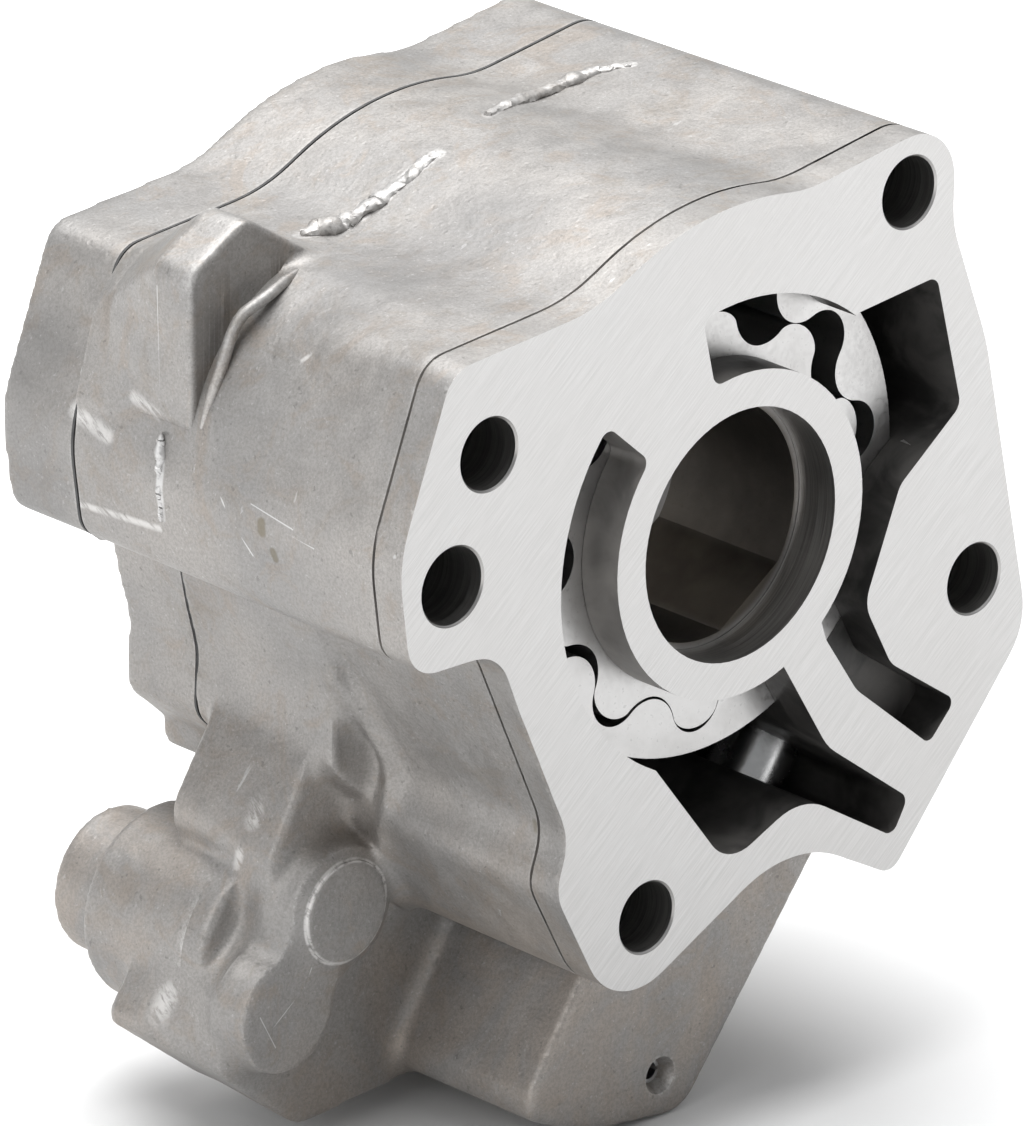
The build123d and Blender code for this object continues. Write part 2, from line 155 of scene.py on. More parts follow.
def lathe(name, profile, centre, count=96):
    """A closed turned piece along Y: profile gives radius and depth in metres, axis ends included."""
    work = bmesh.new()
    rings = []
    for radius, y in profile:
        if radius < 1e-7:
            rings.append([work.verts.new((centre[0], y, centre[1]))])
        else:
            ring = []
            for i in range(count):
                turn = 2 * pi * i / count
                ring.append(work.verts.new((centre[0] + radius * cos(turn), y,
                                            centre[1] + radius * sin(turn))))
            rings.append(ring)
    for first, second in zip(rings, rings[1:]):
        for i in range(count):
            j = (i + 1) % count
            if len(first) == 1:
                work.faces.new((first[0], second[j], second[i]))
            elif len(second) == 1:
                work.faces.new((first[i], first[j], second[0]))
            else:
                work.faces.new((first[i], first[j], second[j], second[i]))
    return finished(work, name)


def finished(work, name):
    """Turn a work mesh into an object with its faces outward."""
    bmesh.ops.triangulate(work, faces=work.faces)
    bmesh.ops.recalc_face_normals(work, faces=work.faces)
    mesh = bpy.data.meshes.new(name)
    work.to_mesh(mesh)
    work.free()
    return new_object(name, mesh)


def pin(name, centre, radius, y_front, y_back):
    """A plain round block along Y."""
    return lathe(name, [(0, y_front), (radius, y_front), (radius, y_back), (0, y_back)], centre)


def flat_loops(piece, y):
    """The edge loops of a piece's flat faces at depth y, as x and z, the largest first.

    Each one starts at its leftmost place, so that every run gives the same loops.
    """
    work = bmesh.new()
    work.from_mesh(piece.data)
    flat = [f for f in work.faces
            if abs(f.normal.y) > 0.99 and all(abs(v.co.y - y) < 2e-6 for v in f.verts)]
    known = set(flat)
    follows = {}
    for face in flat:
        for loop in face.loops:
            if sum(f in known for f in loop.edge.link_faces) == 1:
                follows.setdefault(loop.vert.index, []).append(loop.link_loop_next.vert.index)
    places = [v.co.copy() for v in work.verts]
    work.free()
    found = []
    while follows:
        start = next(iter(follows))
        chain, here = [], start
        while here in follows:
            chain.append(here)
            nexts = follows[here]
            step = nexts.pop()
            if not nexts:
                del follows[here]
            here = step
        around = [(places[i].x, places[i].z) for i in chain]
        first = around.index(min(around))
        found.append(around[first:] + around[:first])
    return sorted(found, key=lambda loop: -abs(area(loop)))


def area(loop):
    points = np.array(loop)
    ahead = np.roll(points, -1, axis=0)
    return 0.5 * np.sum(points[:, 0] * ahead[:, 1] - ahead[:, 0] * points[:, 1])


def block(name, loop, y_front, y_back):
    """A closed block with a flat outline, given as x and z in metres."""
    work = bmesh.new()
    front = [work.verts.new((x, y_front, z)) for x, z in loop]
    back = [work.verts.new((x, y_back, z)) for x, z in loop]
    work.faces.new(front)
    work.faces.new(list(reversed(back)))
    for i in range(len(loop)):
        j = (i + 1) % len(loop)
        work.faces.new((front[j], front[i], back[i], back[j]))
    return finished(work, name)


def stacked(name, rings):
    """A closed block through outlines with equal counts, each given with its depth."""
    work = bmesh.new()
    rows = [[work.verts.new((x, y, z)) for x, z in loop] for loop, y in rings]
    work.faces.new(rows[0])
    work.faces.new(list(reversed(rows[-1])))
    for front, back in zip(rows, rows[1:]):
        for i in range(len(front)):
            j = (i + 1) % len(front)
            work.faces.new((front[j], front[i], back[i], back[j]))
    return finished(work, name)


def broken_corners(corners, radius):
    """A polygon, given in millimetres, with a small arc at each corner and its sides divided."""
    loop = []
    for i, corner in enumerate(corners):
        here = Vector(corner)
        before = (Vector(corners[i - 1]) - here).normalized()
        after = (Vector(corners[(i + 1) % len(corners)]) - here).normalized()
        for k in range(ARC_STEPS + 1):
            t = k / ARC_STEPS
            start, end = here + before * radius, here + after * radius
            place = start * (1 - t) ** 2 + here * 2 * t * (1 - t) + end * t ** 2
            loop.append((place.x * MM, place.y * MM))
        last = Vector(corners[(i + 1) % len(corners)]) - after * radius
        for k in range(1, SIDE_STEPS):
            place = end.lerp(last, k / SIDE_STEPS)
            loop.append((place.x * MM, place.y * MM))
    return loop


def twin_outline(first, second, neck, extra):
    """Two round pads joined by hollow necks: each pad as its centre and radius in millimetres."""
    (a, r1), (b, r2) = first, second
    a, b = Vector(a), Vector(b)
    r1, r2, neck = r1 + extra, r2 + extra, neck - extra
    gap = (b - a).length
    along = (b - a) / gap
    reach = (gap ** 2 + (r1 + neck) ** 2 - (r2 + neck) ** 2) / (2 * gap)
    rise = ((r1 + neck) ** 2 - reach ** 2) ** 0.5
    turn = np.arctan2(along.y, along.x)
    turn_1 = np.arctan2(rise, reach)
    turn_2 = np.arctan2(rise, gap - reach)
    across = Vector((-along.y, along.x))
    loop = []
    for centre, radius, start, end, count in (
            (a, r1, turn + turn_1, turn + 2 * pi - turn_1, 64),
            (a + along * reach - across * rise, neck, turn + pi - turn_1, turn + turn_2, 16),
            (b, r2, turn - pi + turn_2, turn + pi - turn_2, 64),
            (a + along * reach + across * rise, neck, turn - turn_2, turn - pi + turn_1, 16)):
        for angle in np.linspace(start, end, count, endpoint=False):
            loop.append(((centre.x + radius * cos(angle)) * MM, (centre.y + radius * sin(angle)) * MM))
    return loop


def tube(name, path, radii, sides=8, flat=1.0):
    """A closed strand along a path of places in millimetres, round or flattened upward."""
    work = bmesh.new()
    places = [Vector(p) for p in path]
    rows = []
    for i, place in enumerate(places):
        ahead = (places[min(i + 1, len(places) - 1)] - places[max(i - 1, 0)]).normalized()
        side = ahead.cross(Vector((0, 0, 1))).normalized()
        up = side.cross(ahead) * flat
        rows.append([work.verts.new((place + (side * cos(2 * pi * k / sides) + up * sin(2 * pi * k / sides))
                                     * radii[i]) * MM) for k in range(sides)])
    work.faces.new(rows[0])
    work.faces.new(list(reversed(rows[-1])))
    for first, second in zip(rows, rows[1:]):
        for k in range(sides):
            j = (k + 1) % sides
            work.faces.new((first[j], first[k], second[k], second[j]))
    return finished(work, name)


def grown(loop, distance):
    """A loop moved outward by a small distance, or by one for each point."""
    points = np.array(loop)
    tangent = np.roll(points, -1, axis=0) - np.roll(points, 1, axis=0)
    tangent /= np.linalg.norm(tangent, axis=1)[:, None] + 1e-12
    side = np.sign(area(loop))
    normal = np.stack([tangent[:, 1], -tangent[:, 0]], axis=1) * side
    return [tuple(p) for p in points + normal * np.reshape(distance, (-1, 1))]


def join(pieces, name):
    """One mesh with the shells of several, which may overlap."""
    work = bmesh.new()
    for piece in pieces:
        work.from_mesh(piece.data)
        discard(piece)
    mesh = bpy.data.meshes.new(name)
    work.to_mesh(mesh)
    work.free()
    return new_object(name, mesh)


def remeshed(piece, size):
    step = piece.modifiers.new("remesh", "REMESH")
    step.mode = "VOXEL"
    step.voxel_size = size
    apply_modifiers(piece)


def mesh_arrays(mesh):
    places = np.empty(len(mesh.vertices) * 3)
    mesh.vertices.foreach_get("co", places)
    edges = np.empty(len(mesh.edges) * 2, dtype=np.int64)
    mesh.edges.foreach_get("vertices", edges)
    normals = np.empty(len(mesh.vertices) * 3)
    mesh.vertices.foreach_get("normal", normals)
    return places.reshape(-1, 3), edges.reshape(-1, 2), normals.reshape(-1, 3)


def neighbour_mean(places, edges, degree):
    total = np.empty_like(places)
    for axis in range(places.shape[1]):
        total[:, axis] = (np.bincount(edges[:, 0], places[edges[:, 1], axis], len(places))
                          + np.bincount(edges[:, 1], places[edges[:, 0], axis], len(places)))
    return total / degree[:, None]


def soften(piece, everywhere, hollows):
    """Round a casting: every edge a little, and its hollow corners more, as cast fillets."""
    places, edges, normals = mesh_arrays(piece.data)
    degree = np.bincount(edges.ravel(), minlength=len(places)).astype(float)
    for _ in range(everywhere):
        places += 0.5 * (neighbour_mean(places, edges, degree) - places)
    for _ in range(hollows):
        pull = neighbour_mean(places, edges, degree) - places
        outward = np.einsum("ij,ij->i", pull, normals)
        weight = np.clip(outward / 4e-6, 0, 1)
        places += 0.5 * pull * weight[:, None]
    piece.data.vertices.foreach_set("co", places.ravel())
    piece.data.update()


# The casting

SCREW_HOLES = [(22.4 * MM, 28.9 * MM), (-33.1 * MM, 17.4 * MM), (32.0 * MM, -13.6 * MM),
               (-12.3 * MM, -35.9 * MM)]
DOWEL_HOLE = (-37.8 * MM, 5.5 * MM)
SCREW_RADIUS = 0.00355
DOWEL_RADIUS = 0.00385
CRANK_RADIUS = 0.0127
ROTOR_POCKET = 0.02528
POCKET_START = 0.0048
VALVE_RADIUS = 0.00405
SPIGOT = (-29.6 * MM, -44.4 * MM)
PIN_HOLE = (-0.3 * MM, -59.6 * MM)
VALVE_TURN = radians(53.7)
VALVE_DEPTH = 17.1 * MM
VALVE_AXIS = Vector((cos(VALVE_TURN), 0, sin(VALVE_TURN)))
VALVE_START = Vector((PIN_HOLE[0], VALVE_DEPTH, PIN_HOLE[1]))


def on_valve_axis(piece):
    """Turn a piece made along Y onto the relief valve's axis."""
    across = Vector((0, 1, 0)).cross(VALVE_AXIS)
    turn = Matrix((across.cross(VALVE_AXIS), VALVE_AXIS, across)).transposed().to_4x4()
    piece.data.transform(Matrix.Translation(VALVE_START) @ turn)
    return piece


def pump_casting():
    """The body: the CAD solid with cast fillets put on, and its machined cuts made again, crisp."""
    cad = welded_copy("pump_body", "cad_copy")
    front = flat_loops(cad, FACE_Y)
    rear = flat_loops(cad, BODY_MAIN)
    floors = flat_loops(cad, CAVITY_FLOOR)[:2]
    fillers = [
        block("fill", front[0], -0.004, 0.0005),
        block("fill", rear[0], BODY_MAIN - 0.0005, BODY_MAIN + 0.003),
        pin("fill", (AXIS_2.x, AXIS_2.z), 0.0285, -0.004, BODY_MAIN + 0.003),
        block("fill", grown(floors[0], 0.0012), -0.004, CAVITY_FLOOR + 0.001),
        block("fill", grown(floors[1], 0.0012), -0.004, CAVITY_FLOOR + 0.001),
        pin("fill", DOWEL_HOLE, 0.0042, -0.004, BODY_MAIN + 0.003),
        on_valve_axis(pin("fill", (0, 0), 0.0046, -0.0020, 0.045)),
        pin("fill", PIN_HOLE, 0.0018, HOUSING_FRONT + 0.0003, 0.024),
        pin("fill", SPIGOT, 0.0050, 0.032, 0.0572),
    ]
    for place in SCREW_HOLES:
        fillers.append(pin("fill", place, 0.0040, -0.004, BODY_MAIN + 0.003))
    for loop in rear[1:]:
        if abs(area(loop)) < 0.00003:
            fillers.append(block("fill", grown(loop, 0.0003), 0.033, BODY_MAIN + 0.001))
    fillers.append(tube("bead", RIB_PATH, [0.5, 0.9, 1.1, 1.2, 1.2, 1.1, 1.0, 0.5]))
    cast = join([cad] + fillers, "pump_casting")
    remeshed(cast, VOXEL)
    ease_corner(cast)
    soften(cast, 3, 30)

    combine(cast, slab(-0.02, 0.0), "DIFFERENCE")
    for piece in (crisp_pads(), raised_disc(), crisp_lug(), spigot()):
        combine(cast, piece, "UNION")
    combine(cast, rear_slab(BODY_MAIN, 0.08), "DIFFERENCE")
    combine(cast, tube("lip", LIP_PATH, [0.3] + [0.6] * 10 + [0.3], 16), "UNION")
    for path, radius in zip(FLASH_PATHS, (1.15, 0.8)):
        combine(cast, flash(path, radius, 0.7), "UNION")
    combine(cast, flash(PARTING_CHIP, 0.48), "UNION")
    combine(cast, die_line(front[0]), "DIFFERENCE")
    combine(cast, joint_chamfer(cast), "DIFFERENCE")
    for cutter in machined_cuts(front, rear, floors):
        combine(cast, cutter, "DIFFERENCE")
    return cast, front[0]


def rear_slab(y_front, y_back):
    """A block round the joint, but clear of the spigot."""
    corners = [(-WIDE, -0.032), (-0.022, -0.032), (-0.016, -0.045), (WIDE, -0.045),
               (WIDE, WIDE), (-WIDE, WIDE)]
    return block("slab", corners, y_front, y_back)


# Marks of the casting's die, as places in millimetres: a rib, the lug's lip, torn flash and
# a chip at the parting line
RIB_PATH = [(-29.0, 27.0, -8.0), (-28.0, 26.6, -14.7), (-25.0, 25.2, -19.1), (-23.0, 24.0, -23.6),
            (-23.0, 24.2, -28.3), (-22.8, 25.4, -32.4), (-20.0, 26.8, -39.7), (-16.6, 28.4, -42.6)]
LIP_PATH = [(-30.0, 29.1, 26.8), (-32.6, 28.6, 26.4), (-34.7, 28.1, 26.0), (-36.0, 28.1, 25.6),
            (-37.0, 28.2, 25.2), (-37.7, 28.4, 24.8), (-38.3, 28.6, 24.1), (-38.8, 28.7, 23.3),
            (-39.3, 28.7, 22.4), (-40.2, 28.8, 20.1), (-41.2, 29.1, 17.3), (-42.2, 29.4, 14.1)]
FLASH_PATHS = [
    [(-24.6, 34.6, 27.6), (-20.6, 32.8, 27.9), (-15.5, 32.6, 29.5), (-8.8, 32.4, 32.0)],
    [(-0.2, 34.4, 33.4), (5.8, 36.2, 32.8), (11.6, 36.6, 32.7), (16.2, 35.9, 33.3), (18.8, 34.2, 33.6)],
]
PARTING_CHIP = [(-43.3, 34.1, 12.6), (-43.6, 33.8, 9.6), (-43.8, 33.6, 6.6), (-43.7, 33.6, 3.9)]
CORNER_CENTRE, CORNER_RADIUS = (-24.6, 9.5), 18.4
CORNER_FIRST, CORNER_LAST = 100, 186
CORNER_FRONT, CORNER_REAR = 4.5 * MM, 44 * MM


def ease_corner(piece):
    """Make the upper left corner of the body rounder behind the die line."""
    places, _, _ = mesh_arrays(piece.data)
    out = places[:, [0, 2]] - np.array(CORNER_CENTRE) * MM
    reach = np.linalg.norm(out, axis=1) + 1e-9
    turn = np.degrees(np.arctan2(out[:, 1], out[:, 0])) % 360
    share = np.clip((places[:, 1] - CORNER_FRONT) / (20 * MM), 0, 1)
    share *= np.clip((CORNER_LAST - turn) / 22, 0, 1) * np.clip((turn - CORNER_FIRST) / 10, 0, 1)
    share *= np.clip((CORNER_REAR - places[:, 1]) / (9 * MM), 0, 1)
    over = np.clip(reach - CORNER_RADIUS * MM, 0, 6 * MM) * share
    places[:, [0, 2]] -= out / reach[:, None] * over[:, None]
    piece.data.vertices.foreach_set("co", places.ravel())
    piece.data.update()


def flash(path, radius, flat=1.0):
    """A torn strand of metal left along a die's joint."""
    dense = []
    for start, end in zip(path, path[1:]):
        for k in range(SIDE_STEPS):
            dense.append(Vector(start).lerp(Vector(end), k / SIDE_STEPS))
    dense.append(Vector(path[-1]))
    chance = np.random.default_rng(len(dense))
    wander = chance.normal(0, 1, (len(dense), 4))
    wander = np.stack([np.convolve(row, np.hanning(9) / 2, "same") for row in wander.T], axis=1)
    shift = wander[:, :3] * 0.16 * radius * (1, 1, flat)
    strand = [place + Vector(step) for place, step in zip(dense, shift)]
    ends = np.sin(np.linspace(0.2, pi - 0.1, len(dense))) ** 0.35
    radii = radius * ends * np.clip(1 + 0.22 * wander[:, 3], 0.5, 1.4)
    piece = tube("flash", strand, radii, 14, flat)
    places, _, _ = mesh_arrays(piece.data)
    places += chance.normal(0, 0.05 * radius * MM, places.shape)
    piece.data.vertices.foreach_set("co", places.ravel())
    piece.data.update()
    return piece


def joint_chamfer(cast):
    """The cutter that breaks the body's edge at the rear joint, down to the gasket's outline."""
    outline = flat_loops(cast, BODY_MAIN)[0]
    sheet = welded_copy("cover_gasket", "sheet")
    sheet_outline = flat_loops(sheet, BODY_MAIN)[0]
    discard(sheet)
    core = block("cut", grown(sheet_outline, -0.15 * MM), BODY_MAIN - MM, BODY_MAIN + 2 * MM)
    inner = block("cut", grown(outline, -0.00028), BODY_MAIN - 2 * MM, BODY_MAIN + 3 * MM)
    combine(core, inner, "INTERSECT")
    ring = rear_slab(BODY_MAIN - 0.22 * MM, BODY_MAIN + MM)
    combine(ring, core, "DIFFERENCE")
    return ring


UPPER_PAD = ((-27.7, -38.7), 6.5)
LOWER_PAD = ((-34.8, -47.5), 6.0)


def crisp_pads():
    """The two pads with crisp rims, flaring into the block behind them."""
    steps = [(-1.3, 26.0), (-0.9, 26.0), (-0.55, 26.0), (-0.22, 26.09), (0.0, 26.35), (0.06, 26.8),
             (0.14, 27.4), (0.25, 28.1), (0.34, 28.7), (0.40, 29.2), (0.42, 30)]
    return stacked("pads", [(twin_outline(UPPER_PAD, LOWER_PAD, 3.6, extra), y * MM) for extra, y in steps])


def raised_disc():
    profile = [(0, 25.3), (4.2, 25.3), (4.6, 25.3), (4.95, 25.3), (5.17, 25.38), (5.25, 25.6), (5.3, 26.1),
               (5.3, 27), (0, 27)]
    (x, z), _ = UPPER_PAD
    return lathe("disc", [(r * MM, y * MM) for r, y in profile], (x * MM, z * MM))


def crisp_lug():
    """The corner lug with its edges just broken."""
    front = [(-42.7, 12.8), (-42.6, 29.2), (-35.4, 33.2), (-26.6, 27.4), (-29.0, 16.0)]
    rear = [(-43.9, 12.6), (-40.9, 22.0), (-37.2, 25.6), (-26.6, 27.2), (-29.0, 16.0)]
    outline = broken_corners(front, 1.5)
    steps = [(-0.75, 30.5), (-0.5, 30.51), (-0.24, 30.6), (-0.08, 30.8), (0.0, 31.15)]
    rings = [(grown(outline, extra * MM), y) for extra, y in steps]
    rings += [(outline, y) for y in (32.0, 33.0, 34.0, 34.9, 35.5)]
    end = grown(broken_corners(rear, 1.5), -0.4 * MM)
    for share in np.linspace(0.05, 1.05, 21):
        loop = [(a[0] + (b[0] - a[0]) * share, a[1] + (b[1] - a[1]) * share) for a, b in zip(outline, end)]
        rings.append((loop, 35.5 + 10.2 * share))
    return stacked("lug", [(loop, y * MM) for loop, y in rings])


def spigot():
    """The rear spigot, as cast: a root and a smaller nose with round shoulders."""
    profile = [(0, 36)] + [(10.1, 36 + 1.2 * k) for k in range(11)]
    profile += [(10.0, 49.1), (9.85, 49.6), (9.4, 50.0), (8.7, 50.2), (8.0, 50.4), (7.6, 50.8), (7.45, 51.4)]
    profile += [(7.42, 52.4 + k) for k in range(4)]
    profile += [(7.35, 56.3), (7.1, 56.9), (6.5, 57.35), (6.0, 57.4), (0, 57.4)]
    return lathe("spigot", [(r * MM, y * MM) for r, y in profile], SPIGOT, 128)


def die_line(outline):
    """The cutter for the thin dark line where the die's front half met the body."""
    depths = [(0.34 + 0.10 * sin(0.9 * i) + 0.06 * sin(2.3 * i + 1)) * MM for i in range(len(outline))]
    deep = grown(outline, [-depth for depth in depths])
    ring = block("cut", grown(outline, 0.002), DIE_LINE_Y, DIE_LINE_Y + DIE_LINE_WIDTH)
    combine(ring, block("cut", deep, DIE_LINE_Y - MM, DIE_LINE_Y + MM), "DIFFERENCE")
    return ring


def slab(y_front, y_back):
    """A block wider than the pump, to cut a casting off flat."""
    corners = [(-WIDE, -WIDE), (WIDE, -WIDE), (WIDE, WIDE), (-WIDE, WIDE)]
    return block("slab", corners, y_front, y_back)


def machined_cuts(front, rear, floors):
    """Closed shapes of everything that is cut into the body."""
    cuts = [pin("cut", (AXIS_2.x, AXIS_2.z), ROTOR_POCKET, POCKET_START, 0.05)]
    for loop in front[1:]:
        cuts.append(block("cut", loop, -0.002, 0.00485))
    for loop in floors:
        cuts.append(block("cut", loop, 0.002, CAVITY_FLOOR))
    for loop in rear[1:]:
        size = abs(area(loop))
        if size > 0.001:
            cuts.append(block("cut", loop, 0.0211, 0.05))
        elif size < 0.0000155:
            cuts.append(block("cut", loop, 0.0336, 0.05))
    for place in SCREW_HOLES:
        cuts.append(drilled(place, SCREW_RADIUS))
    cuts.append(drilled(DOWEL_HOLE, DOWEL_RADIUS))
    cuts.append(on_valve_axis(pin("cut", (0, 0), VALVE_RADIUS, -0.012, 0.0394)))
    cuts.append(on_valve_axis(pin("cut", (0, 0), 0.0026, 0.039, 0.0454)))
    mouth = [(0, HOUSING_FRONT - 0.002), (0.0024, HOUSING_FRONT - 0.002), (0.0020, HOUSING_FRONT),
             (0.00125, HOUSING_FRONT + 0.0012), (0.00125, 0.02415), (0, 0.02415)]
    cuts.append(lathe("cut", mouth, PIN_HOLE, 48))
    bore = [(0, 0.0334), (0.0045, 0.0334), (0.0045, 0.0570), (0.0049, 0.0576), (0, 0.0576)]
    cuts.append(lathe("cut", bore, SPIGOT))
    return cuts


def drilled(centre, radius):
    """A screw hole right through, with its edges just broken."""
    profile = [(0, -0.001), (radius + 0.0012, -0.001), (radius, 0.0002), (radius, BODY_MAIN - 0.0002),
               (radius + 0.0012, BODY_MAIN + 0.001), (0, BODY_MAIN + 0.001)]
    return lathe("cut", profile, centre)


def cover_casting():
    """The rear cover, rounded and cut crisp in the same way."""
    cad = welded_copy("rear_cover", "cad_copy")
    front = flat_loops(cad, JOINT_Y)
    rear = flat_loops(cad, COVER_END)
    fillers = [block("fill", front[0], JOINT_Y - 0.003, JOINT_Y + 0.0005)]
    for loop in front[1:]:
        margin = 0.0005 if loop_span(loop) < 0.02 else 0.0008
        fillers.append(block("fill", grown(loop, margin), JOINT_Y - 0.003, COVER_END - 0.0002))
    for loop in rear[1:]:
        fillers.append(block("fill", grown(loop, 0.0004), COVER_END - 0.006, COVER_END - 0.0002))
    cast = join([cad] + fillers, "cover_casting")
    remeshed(cast, VOXEL)
    soften(cast, 5, 20)
    combine(cast, slab(-0.02, JOINT_Y), "DIFFERENCE")
    for loop in front[1:]:
        combine(cast, block("cut", loop, JOINT_Y - 0.001, COVER_END + 0.001), "DIFFERENCE")
    for loop in rear[1:]:
        if 0.000030 < abs(area(loop)) < 0.000038:
            combine(cast, block("cut", loop, COVER_END - 0.004, COVER_END + 0.001), "DIFFERENCE")
    return cast


def loop_span(loop):
    points = np.array(loop)
    return float(np.max(points.max(axis=0) - points.min(axis=0)))


def crisp_shading(piece):
    """Smooth shading, broken at sharp edges."""
    piece.data.shade_smooth()
    piece.data.set_sharp_from_angle(angle=radians(SHARP_ANGLE))


# Surfaces

# Worn and stained places on the casting, and broad cooler, darker zones of painted shade, each as two ends
# and a width in millimetres
SCUFFS = [
    ((-43.5, 46.0, 11.6), (-43.7, 41.2, 10.4), 1.2), ((-43.0, 38.3, 14.9), (-43.1, 35.2, 14.0), 1.0),
    ((-43.4, 45.6, 2.1), (-43.5, 34.0, 3.0), 0.55), ((-34.0, 33.6, -33.2), (-34.6, 34.0, -34.6), 0.9),
    ((-40.5, 36.8, -47.0), (-40.8, 37.4, -49.6), 1.8), ((-32.0, 33.2, -28.6), (-33.0, 33.0, -30.0), 1.3),
    ((-38.2, 20.0, 22.6), (-36.4, 18.2, 23.6), 0.4),
]
SCRATCHES = [
    ((-44.0, 25.9, 9.7), (-43.9, 20.8, 4.2), 0.12), ((-43.9, 22.0, 8.6), (-44.2, 12.0, 7.6), 0.10),
    ((-43.9, 21.0, 9.4), (-44.1, 15.0, 8.6), 0.08), ((-42.65, 35.1, 27.0), (-42.75, 34.8, 16.0), 0.08),
    ((-38.0, 26.1, -49.0), (-33.0, 25.9, -45.4), 0.07), ((-36.0, 25.9, -44.0), (-33.6, 25.9, -51.0), 0.08),
    ((-33.6, 25.9, -43.6), (-35.4, 25.9, -49.0), 0.06), ((-32.6, 25.9, -44.2), (-34.2, 25.9, -47.6), 0.06),
    ((-31.8, 25.9, -43.0), (-33.0, 25.9, -46.4), 0.07), ((-38.6, 26.0, -46.6), (-36.6, 26.0, -50.4), 0.06),
    ((-43.7, 33.7, 12.2), (-44.1, 33.4, 4.2), 0.62),
    ((-30.0, 25.2, -36.0), (-26.2, 25.2, -38.2), 0.08), ((5.0, 24.0, 33.2), (9.0, 19.0, 33.0), 0.10),
]
# Broad zones of painted shade, over the top of the body and the cover's left side
SHADE_ZONES = [((-30.0, 20.0, 27.0), (-16.0, 20.0, 29.5), 12.0), ((-41.0, 52.0, -4.0), (-40.0, 52.0, 14.0), 9.0)]
SPOTS = [
    ((-44.2, 19.3, 8.0), (-44.2, 19.2, 7.2), 0.75), ((-44.0, 17.8, 5.5), (-44.0, 17.6, 4.9), 0.6),
    ((-23.3, 4.4, -24.2), (-23.3, 4.3, -25.0), 0.6),
]


